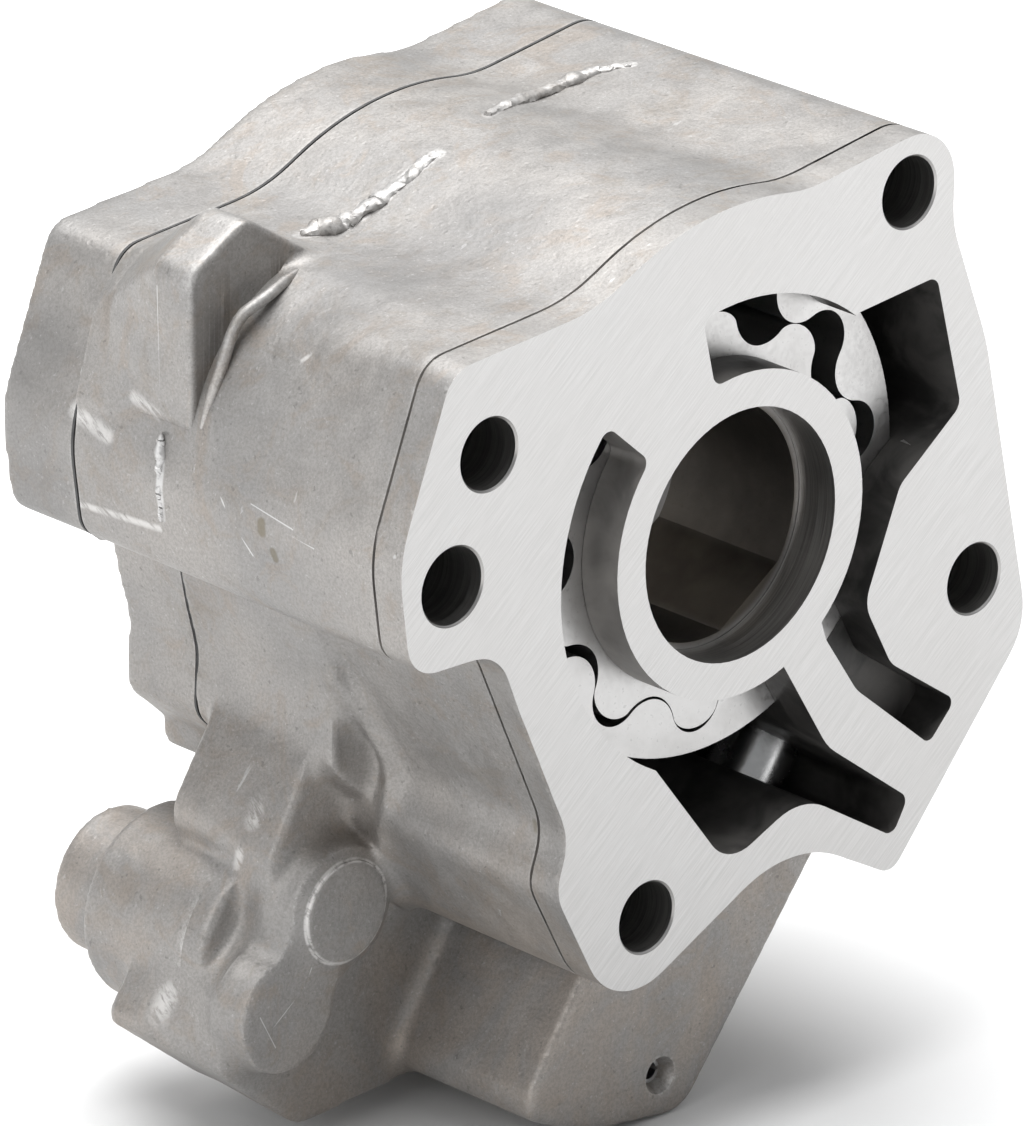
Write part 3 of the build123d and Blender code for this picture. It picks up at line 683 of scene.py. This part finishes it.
class Shade:
    """A procedural material, built one node at a time."""

    def __init__(self, name):
        self.material = bpy.data.materials.new(name)
        self.material.use_nodes = True
        self.tree = self.material.node_tree
        self.surface = self.tree.nodes["Principled BSDF"]
        self.place = self.tree.nodes.new("ShaderNodeTexCoord").outputs["Object"]

    def feed(self, socket, value):
        if isinstance(value, bpy.types.NodeSocket):
            self.tree.links.new(value, socket)
        else:
            socket.default_value = value

    def stretch(self, scale, turn=(0, 0, 0)):
        """Coordinates turned and then scaled, so a pattern runs as streaks."""
        node = self.tree.nodes.new("ShaderNodeMapping")
        node.vector_type = "TEXTURE"
        self.feed(node.inputs["Vector"], self.place)
        node.inputs["Rotation"].default_value = [radians(a) for a in turn]
        node.inputs["Scale"].default_value = [1 / s for s in scale]
        return node.outputs["Vector"]

    def noise(self, scale, detail=4.0, rough=0.55, place=None, warp=0.0):
        node = self.tree.nodes.new("ShaderNodeTexNoise")
        self.feed(node.inputs["Vector"], place or self.place)
        node.inputs["Scale"].default_value = scale
        node.inputs["Detail"].default_value = detail
        node.inputs["Roughness"].default_value = rough
        node.inputs["Distortion"].default_value = warp
        return node.outputs["Fac"]

    def cells(self, scale):
        node = self.tree.nodes.new("ShaderNodeTexVoronoi")
        node.feature = "F1"
        self.feed(node.inputs["Vector"], self.place)
        node.inputs["Scale"].default_value = scale
        return node.outputs["Distance"]

    def fit(self, value, low, high, to_low=0.0, to_high=1.0):
        node = self.tree.nodes.new("ShaderNodeMapRange")
        node.interpolation_type = "SMOOTHSTEP"
        self.feed(node.inputs["Value"], value)
        for name, number in zip(("From Min", "From Max", "To Min", "To Max"), (low, high, to_low, to_high)):
            node.inputs[name].default_value = number
        return node.outputs["Result"]

    def math(self, operation, a, b=0.0):
        node = self.tree.nodes.new("ShaderNodeMath")
        node.operation = operation
        self.feed(node.inputs[0], a)
        self.feed(node.inputs[1], b)
        return node.outputs[0]

    def blend(self, amount, a, b):
        node = self.tree.nodes.new("ShaderNodeMix")
        node.data_type = "RGBA"
        node.blend_type = "MIX"
        self.feed(node.inputs[0], amount)
        self.feed(node.inputs[6], a)
        self.feed(node.inputs[7], b)
        return node.outputs[2]

    def shape(self, name):
        """A pattern kept on the mesh: its worn edges or its hollows."""
        node = self.tree.nodes.new("ShaderNodeAttribute")
        node.attribute_name = name
        return node.outputs["Fac"]

    def stroke(self, start, end, width, soft=0.5):
        """A mask along a straight line between two places in millimetres."""
        a, b = Vector(start) * MM, Vector(end) * MM
        along = b - a
        node = self.tree.nodes.new("ShaderNodeVectorMath")
        node.operation = "SUBTRACT"
        self.feed(node.inputs[0], self.place)
        node.inputs[1].default_value = a
        here = node.outputs[0]
        dot = self.tree.nodes.new("ShaderNodeVectorMath")
        dot.operation = "DOT_PRODUCT"
        self.feed(dot.inputs[0], here)
        dot.inputs[1].default_value = along / along.length_squared
        share = self.tree.nodes.new("ShaderNodeClamp")
        self.feed(share.inputs[0], dot.outputs["Value"])
        near = self.tree.nodes.new("ShaderNodeVectorMath")
        near.operation = "SCALE"
        near.inputs[0].default_value = along
        self.feed(near.inputs["Scale"], share.outputs[0])
        away = self.tree.nodes.new("ShaderNodeVectorMath")
        away.operation = "DISTANCE"
        self.feed(away.inputs[0], here)
        self.feed(away.inputs[1], near.outputs[0])
        return self.fit(away.outputs["Value"], width * MM, width * soft * MM)

    def ring(self, centre, radius, width, behind, soft=0.4):
        """A mask round an axis along Y, in millimetres, on what lies in front of a plane."""
        node = self.tree.nodes.new("ShaderNodeVectorMath")
        node.operation = "MULTIPLY_ADD"
        self.feed(node.inputs[0], self.place)
        node.inputs[1].default_value = (1, 0, 1)
        node.inputs[2].default_value = (-centre[0] * MM, 0, -centre[1] * MM)
        reach = self.tree.nodes.new("ShaderNodeVectorMath")
        reach.operation = "LENGTH"
        self.feed(reach.inputs[0], node.outputs[0])
        off = self.math("ABSOLUTE", self.math("SUBTRACT", reach.outputs["Value"], radius * MM))
        front = self.fit(self.coordinate("Y"), behind * MM, (behind - 0.1) * MM)
        return self.math("MULTIPLY", self.fit(off, width * MM, soft * width * MM), front)

    def coordinate(self, axis):
        node = self.tree.nodes.new("ShaderNodeSeparateXYZ")
        self.feed(node.inputs[0], self.place)
        return node.outputs[axis]

    def bump(self, layers):
        """Stack height patterns, each given as (value, depth in metres)."""
        normal = None
        for value, depth in layers:
            node = self.tree.nodes.new("ShaderNodeBump")
            node.inputs["Strength"].default_value = 1.0
            node.inputs["Distance"].default_value = depth
            self.feed(node.inputs["Height"], value)
            if normal is not None:
                self.tree.links.new(normal, node.inputs["Normal"])
            normal = node.outputs["Normal"]
        self.tree.links.new(normal, self.surface.inputs["Normal"])

    def finish(self, color, rough, metal=1.0):
        self.feed(self.surface.inputs["Base Color"], color)
        self.feed(self.surface.inputs["Roughness"], rough)
        self.feed(self.surface.inputs["Metallic"], metal)
        return self.material


def grey(value, warm=0.0):
    return (value * (1 + warm), value, value * (1 - warm), 1)


def cast_metal():
    """As-cast aluminium: mottled, browner at the spigot, with painted dark brown shade in the hollows and
    painted shade over broad zones, worn bright on edges.
    """
    s = Shade("cast_metal")
    broad = s.noise(55, 3, 0.6)
    mottle = s.noise(260, 5, 0.62, warp=0.4)
    speck = s.noise(2200, 3, 0.6)
    color = s.blend(s.fit(broad, 0.3, 0.7), grey(0.270, 0.02), grey(0.335, 0.05))
    color = s.blend(s.fit(mottle, 0.36, 0.66), s.blend(0.35, color, grey(0.24, 0.05)), color)
    stain = s.math("MULTIPLY", s.fit(s.noise(95, 5, 0.7, warp=1.2), 0.54, 0.70), 0.35)
    color = s.blend(stain, color, (0.23, 0.195, 0.155, 1))
    patina = s.math("MULTIPLY", s.fit(s.noise(130, 5, 0.7, warp=1.5), 0.50, 0.66), 0.5)
    color = s.blend(patina, color, (0.285, 0.243, 0.205, 1))
    # Painted shade: broad zones blended towards a dark cool grey
    for start, end, width in SHADE_ZONES:
        color = s.blend(s.math("MULTIPLY", s.stroke(start, end, width, 0.2), 0.45), color, grey(0.155, 0.0))
    low = s.fit(s.coordinate("Z"), -0.018, -0.045)
    tan = s.math("MULTIPLY", low, s.fit(s.noise(70, 4, 0.65, warp=0.8), 0.42, 0.62))
    color = s.blend(s.math("MULTIPLY", tan, 0.6), color, (0.34, 0.292, 0.25, 1))
    # Painted shade: hollow corners darkened towards dark brown
    color = s.blend(s.math("MULTIPLY", s.shape("hollow"), 0.55), color, (0.13, 0.112, 0.095, 1))
    rub = s.math("MULTIPLY", s.shape("edge"), s.fit(s.noise(420, 4, 0.65), 0.34, 0.62))
    color = s.blend(s.math("MULTIPLY", rub, 0.55), color, grey(0.60, 0.02))
    sand = s.fit(s.noise(3300, 3, 0.7), 0.38, 0.60)
    color = s.blend(sand, s.blend(0.30, color, grey(0.13, 0.05)), color)
    flecks = s.math("MULTIPLY", s.fit(speck, 0.62, 0.72), 0.30)
    color = s.blend(flecks, color, grey(0.52, 0.01))
    dots = s.math("MULTIPLY", s.fit(s.noise(1500, 2, 0.5), 0.33, 0.27), 0.45)
    color = s.blend(dots, color, grey(0.12, 0.05))
    lines = s.noise(900, 2, 0.5, place=s.stretch((1, 1, 0.06), (35, 20, 50)))
    marks = s.math("MULTIPLY", s.fit(lines, 0.71, 0.76), s.fit(s.noise(60, 2), 0.45, 0.62))
    color = s.blend(s.math("MULTIPLY", marks, 0.5), color, grey(0.62))
    torn = s.fit(s.noise(1300, 4, 0.7, place=s.stretch((0.5, 0.25, 1.2), (35, 0, 0)), warp=0.5), 0.36, 0.54)
    rim = s.ring(UPPER_PAD[0], 5.22, 0.30, 25.9)
    color = s.blend(s.math("MULTIPLY", s.math("MULTIPLY", rim, torn), 0.7), color, grey(0.66, 0.02))
    for start, end, width in SCUFFS:
        amount = s.math("MULTIPLY", s.math("MULTIPLY", s.stroke(start, end, width, 0.2), torn), 0.6)
        color = s.blend(amount, color, grey(0.66, 0.02))
    for path, width in zip(FLASH_PATHS, (1.05, 0.75)):
        for start, end in zip(path, path[1:]):
            fresh = s.math("MULTIPLY", s.stroke(start, end, width, 0.7), s.fit(speck, 0.35, 0.6, 0.2, 0.7))
            color = s.blend(fresh, color, grey(0.52, 0.02))
    for start, end, width in SCRATCHES:
        color = s.blend(s.math("MULTIPLY", s.stroke(start, end, width), 0.55), color, grey(0.70))
    for start, end, width in SPOTS:
        color = s.blend(s.math("MULTIPLY", s.stroke(start, end, width), 0.7), color, (0.15, 0.13, 0.09, 1))
    rough = s.fit(mottle, 0.3, 0.75, 0.46, 0.60)
    pits = s.fit(s.cells(620), 0.05, 0.22)
    s.bump([(s.noise(160, 3, 0.5), 0.00022), (mottle, 0.00010), (speck, 0.00003), (pits, 0.00002)])
    return s.finish(color, rough, 0.6)


def painted_shade_metal():
    """Painted shade for the cast walls deep inside the ports, the die line and the valve bore: near black,
    with painted light on the left walls near the front.
    """
    s = Shade("painted_shade_metal")
    shade_mottle = s.noise(140, 4, 0.6, warp=0.6)
    grain = s.noise(900, 3, 0.6)
    color = s.blend(s.fit(shade_mottle, 0.35, 0.65), grey(0.035, 0.03), grey(0.09, 0.05))
    lit_wall = s.blend(s.fit(shade_mottle, 0.35, 0.65), grey(0.20, 0.04), grey(0.30, 0.05))
    # Painted light: the left walls near the front made lighter
    left = s.math("MULTIPLY", s.fit(s.coordinate("X"), 0.004, -0.006), s.fit(s.coordinate("Y"), 0.012, 0.004))
    color = s.blend(left, color, lit_wall)
    s.bump([(shade_mottle, 0.0001), (grain, 0.00003)])
    return s.finish(color, s.fit(shade_mottle, 0.3, 0.7, 0.38, 0.55), 0.5)


def milled_metal():
    """The machined face: fine slanting brush lines over bright aluminium."""
    s = Shade("milled_metal")
    streak = s.noise(420, 4, 0.65, place=s.stretch((14, 1, 0.35), (0, 52, 0)))
    fine = s.noise(1500, 3, 0.6, place=s.stretch((14, 1, 0.3), (0, 49, 0)))
    broad = s.noise(48, 3, 0.6)
    color = s.blend(s.fit(streak, 0.3, 0.7), grey(0.425, 0.012), grey(0.55, 0.008))
    color = s.blend(s.fit(fine, 0.35, 0.65), s.blend(0.3, color, grey(0.42, 0.02)), color)
    color = s.blend(s.fit(broad, 0.35, 0.65), s.blend(0.15, color, grey(0.45, 0.03)), color)
    spots = s.math("MULTIPLY", s.fit(s.noise(330, 3, 0.6), 0.66, 0.74), 0.3)
    color = s.blend(spots, color, grey(0.46, 0.04))
    rough = s.fit(streak, 0.3, 0.7, 0.34, 0.46)
    s.bump([(streak, 0.00002), (fine, 0.000012)])
    return s.finish(color, rough, 0.9)


def bored_metal():
    """Drilled and turned surfaces: fine rings round the cut, in a darker tone that is painted shade for the
    insides of the holes.
    """
    s = Shade("bored_metal")
    rings = s.noise(900, 3, 0.6, place=s.stretch((0.1, 6, 0.1)))
    color = s.blend(s.fit(rings, 0.3, 0.7), grey(0.26, 0.03), grey(0.42, 0.02))
    s.bump([(rings, 0.00001)])
    return s.finish(color, s.fit(rings, 0.3, 0.7, 0.28, 0.40), 0.95)


def sintered_metal():
    """Sintered steel rotors: satin, with fine pores."""
    s = Shade("sintered_metal")
    grain = s.noise(1900, 3, 0.6)
    broad = s.noise(120, 3, 0.6)
    color = s.blend(s.fit(broad, 0.3, 0.7), grey(0.42, 0.015), grey(0.49, 0.01))
    color = s.blend(s.math("MULTIPLY", s.fit(grain, 0.4, 0.3), 0.35), color, grey(0.2))
    # Painted shade with a brown tint: rotor faces and bore within the crank bore's radius darkened
    bore = s.ring((0, 0), 0.0, 13.0, 60, soft=0.9)
    bore_shade_color = s.blend(s.fit(broad, 0.3, 0.7), (0.13, 0.115, 0.10, 1), (0.20, 0.18, 0.155, 1))
    color = s.blend(bore, color, bore_shade_color)
    s.bump([(grain, 0.000012)])
    return s.finish(color, s.fit(grain, 0.3, 0.7, 0.30, 0.42), 1.0)


def plain_metal(name, value, rough, warm=0.0):
    s = Shade(name)
    wear = s.noise(500, 4, 0.6)
    color = s.blend(s.fit(wear, 0.3, 0.7), grey(value * 0.82, warm), grey(value, warm))
    s.bump([(s.noise(2500, 2), 0.000008)])
    return s.finish(color, s.fit(wear, 0.3, 0.7, rough, rough + 0.1), 1.0)


def dull_black(name, value, rough):
    s = Shade(name)
    wear = s.noise(700, 4, 0.6)
    color = s.blend(s.fit(wear, 0.3, 0.7), grey(value * 0.7), grey(value * 1.3))
    s.bump([(wear, 0.00003)])
    return s.finish(color, rough, 0.0)


def mark_shape(piece):
    """Keep on the mesh how sharply it turns outward or inward, where FULL_TURN counts as 1."""
    places, edges, normals = mesh_arrays(piece.data)
    degree = np.maximum(np.bincount(edges.ravel(), minlength=len(places)), 1).astype(float)
    smooth = places.copy()
    for _ in range(4):
        smooth += 0.5 * (neighbour_mean(smooth, edges, degree) - smooth)
    turn = np.einsum("ij,ij->i", smooth - places, normals) / FULL_TURN
    for name, value in (("edge", np.clip(-turn - 0.1, 0, 1)), ("hollow", np.clip(turn - 0.1, 0, 1))):
        kept = piece.data.attributes.new(name, "FLOAT", "POINT")
        kept.data.foreach_set("value", value.astype(np.float32))


def inside(x, z, loop):
    """Which places lie inside a flat loop."""
    points = np.array(loop)
    ahead = np.roll(points, -1, axis=0)
    found = np.zeros(len(x), dtype=bool)
    for (x1, z1), (x2, z2) in zip(points, ahead):
        if z1 != z2:
            crosses = (z1 > z) != (z2 > z)
            found ^= crosses & (x < x1 + (z - z1) * (x2 - x1) / (z2 - z1))
    return found


# Places of the finishes among a casting's materials, after the cast skin at 0; the last is painted shade
MILLED, BORED, PAINTED_SHADE = 1, 2, 3


def paint_by_cut(piece, finishes, milled, shade_outline=None):
    """Give the faces milled at some depths and the bores their own surface, and paint the deep port walls,
    the die line and the valve bore with painted shade.
    """
    mesh = piece.data
    mesh.materials.clear()
    for material in finishes:
        mesh.materials.append(material)
    count = len(mesh.polygons)
    centre = np.empty(count * 3)
    normal = np.empty(count * 3)
    mesh.polygons.foreach_get("center", centre)
    mesh.polygons.foreach_get("normal", normal)
    centre = centre.reshape(-1, 3)
    normal = normal.reshape(-1, 3)
    index = np.zeros(count, dtype=np.int32)
    if shade_outline:
        # Painted shade on the deep walls inside the front outline
        deep = inside(centre[:, 0], centre[:, 2], grown(shade_outline, -0.0026))
        index[deep & (centre[:, 1] < CAVITY_FLOOR + 0.0005)] = PAINTED_SHADE
        # Painted shadow in the die line's groove
        line = (centre[:, 1] > DIE_LINE_Y - 2e-6) & (centre[:, 1] < DIE_LINE_Y + DIE_LINE_WIDTH + 0.01 * MM)
        index[line & inside(centre[:, 0], centre[:, 2], grown(shade_outline, -0.00010))] = PAINTED_SHADE
    flat = np.abs(normal[:, 1]) > 0.99
    for y in milled:
        index[flat & (np.abs(centre[:, 1] - y) < 3e-6)] = MILLED
    holes = [(*place, SCREW_RADIUS) for place in SCREW_HOLES]
    holes += [(*DOWEL_HOLE, DOWEL_RADIUS), (0, 0, CRANK_RADIUS), (AXIS_2.x, AXIS_2.z, ROTOR_POCKET)]
    for x, z, radius in holes:
        reach = np.hypot(centre[:, 0] - x, centre[:, 2] - z)
        index[(np.abs(reach - radius) < 0.00022) & (np.abs(normal[:, 1]) < 0.8)] = BORED
    reach = np.hypot(centre[:, 0] - SPIGOT[0], centre[:, 2] - SPIGOT[1])
    index[(reach < 0.0048) & (centre[:, 1] > 0.03)] = BORED
    offset = centre - np.array(VALVE_START)
    offset -= np.outer(offset @ np.array(VALVE_AXIS), np.array(VALVE_AXIS))
    # Painted shade in the relief valve's bore
    index[(np.abs(np.linalg.norm(offset, axis=1) - VALVE_RADIUS) < 0.0002) & (centre[:, 2] < -0.02)] = PAINTED_SHADE
    mesh.polygons.foreach_set("material_index", index)


# Light and stage

WORLD_STRENGTH = 0.51
LIT_PLACE = (0, 0.02, 0)
FLOOR_HALF = 4
FLOOR_GAP = 0.0001
GLOW_START, GLOW_END, GLOW = 0.08, 0.36, 0.9


def soft_light(name, place, size, power):
    """A square area lamp turned towards the middle of the pump."""
    data = bpy.data.lights.new(name, "AREA")
    data.shape = "RECTANGLE"
    data.size, data.size_y = size, size
    data.energy = power
    lamp = bpy.data.objects.new(name, data)
    lamp.location = place
    lamp.rotation_euler = (Vector(LIT_PLACE) - Vector(place)).to_track_quat("-Z", "Y").to_euler()
    bpy.context.scene.collection.objects.link(lamp)


def studio_world(strength):
    """White where the camera looks past the object, a softer grey for its light."""
    world = bpy.data.worlds.new("studio")
    bpy.context.scene.world = world
    world.use_nodes = True
    tree = world.node_tree
    tree.nodes.clear()
    path = tree.nodes.new("ShaderNodeLightPath")
    seen = tree.nodes.new("ShaderNodeBackground")
    seen.inputs["Color"].default_value = (1, 1, 1, 1)
    lit = tree.nodes.new("ShaderNodeBackground")
    lit.inputs["Color"].default_value = (0.97, 0.985, 1, 1)
    lit.inputs["Strength"].default_value = strength
    mix = tree.nodes.new("ShaderNodeMixShader")
    out = tree.nodes.new("ShaderNodeOutputWorld")
    tree.links.new(path.outputs["Is Camera Ray"], mix.inputs[0])
    tree.links.new(lit.outputs[0], mix.inputs[1])
    tree.links.new(seen.outputs[0], mix.inputs[2])
    tree.links.new(mix.outputs[0], out.inputs["Surface"])


def floor():
    """A pale floor under the pump, which takes its shadow and runs out into white."""
    mesh = bpy.data.meshes.new("floor")
    z = cad_box[0][2] - FLOOR_GAP
    corners = [(-1, -1), (1, -1), (1, 1), (-1, 1)]
    mesh.from_pydata([(x * FLOOR_HALF, y * FLOOR_HALF, z) for x, y in corners], [], [(0, 1, 2, 3)])
    piece = new_object("floor", mesh)
    s = Shade("floor")
    tint = s.blend(s.noise(3, 2), grey(0.70), grey(0.73))
    away = s.tree.nodes.new("ShaderNodeVectorMath")
    away.operation = "LENGTH"
    s.feed(away.inputs[0], s.place)
    s.feed(s.surface.inputs["Emission Color"], grey(1.0))
    path = s.tree.nodes.new("ShaderNodeLightPath")
    seen = s.math("MAXIMUM", path.outputs["Is Camera Ray"], path.outputs["Is Glossy Ray"])
    seen = s.math("MAXIMUM", seen, path.outputs["Is Transmission Ray"])
    glow = s.math("MULTIPLY", seen, s.fit(away.outputs["Value"], GLOW_START, GLOW_END, 0.0, GLOW))
    s.feed(s.surface.inputs["Emission Strength"], glow)
    mesh.materials.append(s.finish(tint, 0.9, 0.0))


def build():
    finishes = (cast_metal(), milled_metal(), bored_metal(), painted_shade_metal())
    body, outline = pump_casting()
    mark_shape(body)
    paint_by_cut(body, finishes, (FACE_Y, BODY_MAIN), outline)
    crisp_shading(body)
    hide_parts("pump_body")
    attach(body, "housing")
    cover = cover_casting()
    mark_shape(cover)
    paint_by_cut(cover, finishes, (JOINT_Y,))
    crisp_shading(cover)
    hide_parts("rear_cover")
    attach(cover, "housing")

    sintered = sintered_metal()
    ground = plain_metal("ground_metal", 0.50, 0.18)
    plate = plain_metal("plate_metal", 0.55, 0.30)
    spring = plain_metal("spring_metal", 0.40, 0.30, 0.02)
    black = dull_black("blackened_metal", 0.05, 0.4)
    rubber = dull_black("rubber", 0.03, 0.5)
    sheet = dull_black("gasket", 0.05, 0.7)
    by_word = {"rotor": sintered, "plate": plate, "plunger": ground, "spring": spring, "pin": plate,
               "dowels": ground, "screws": black, "plug": plate, "ring": rubber, "gasket": sheet}
    for name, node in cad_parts.items():
        if name in ("pump_body", "rear_cover", "relief_spring"):
            continue
        for word, material in by_word.items():
            if word in name:
                node.data.materials.clear()
                node.data.materials.append(material)
    relief_coil(spring)


def relief_coil(material):
    """The relief valve's spring, copied from its CAD node and hung on the housing."""
    coil = welded_copy("relief_spring", "relief_coil")
    coil.data.materials.append(material)
    crisp_shading(coil)
    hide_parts("relief_spring")
    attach(coil, "housing")
    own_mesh(coil)


def light():
    studio_world(WORLD_STRENGTH)
    soft_light("key", (0.02, 0.16, 0.85), 0.9, 17.5)
    soft_light("side", (-0.80, 0.0, 0.35), 0.6, 2.2)


place_camera()
build()
light()
floor()
bpy.context.scene.view_settings.view_transform = "Standard"
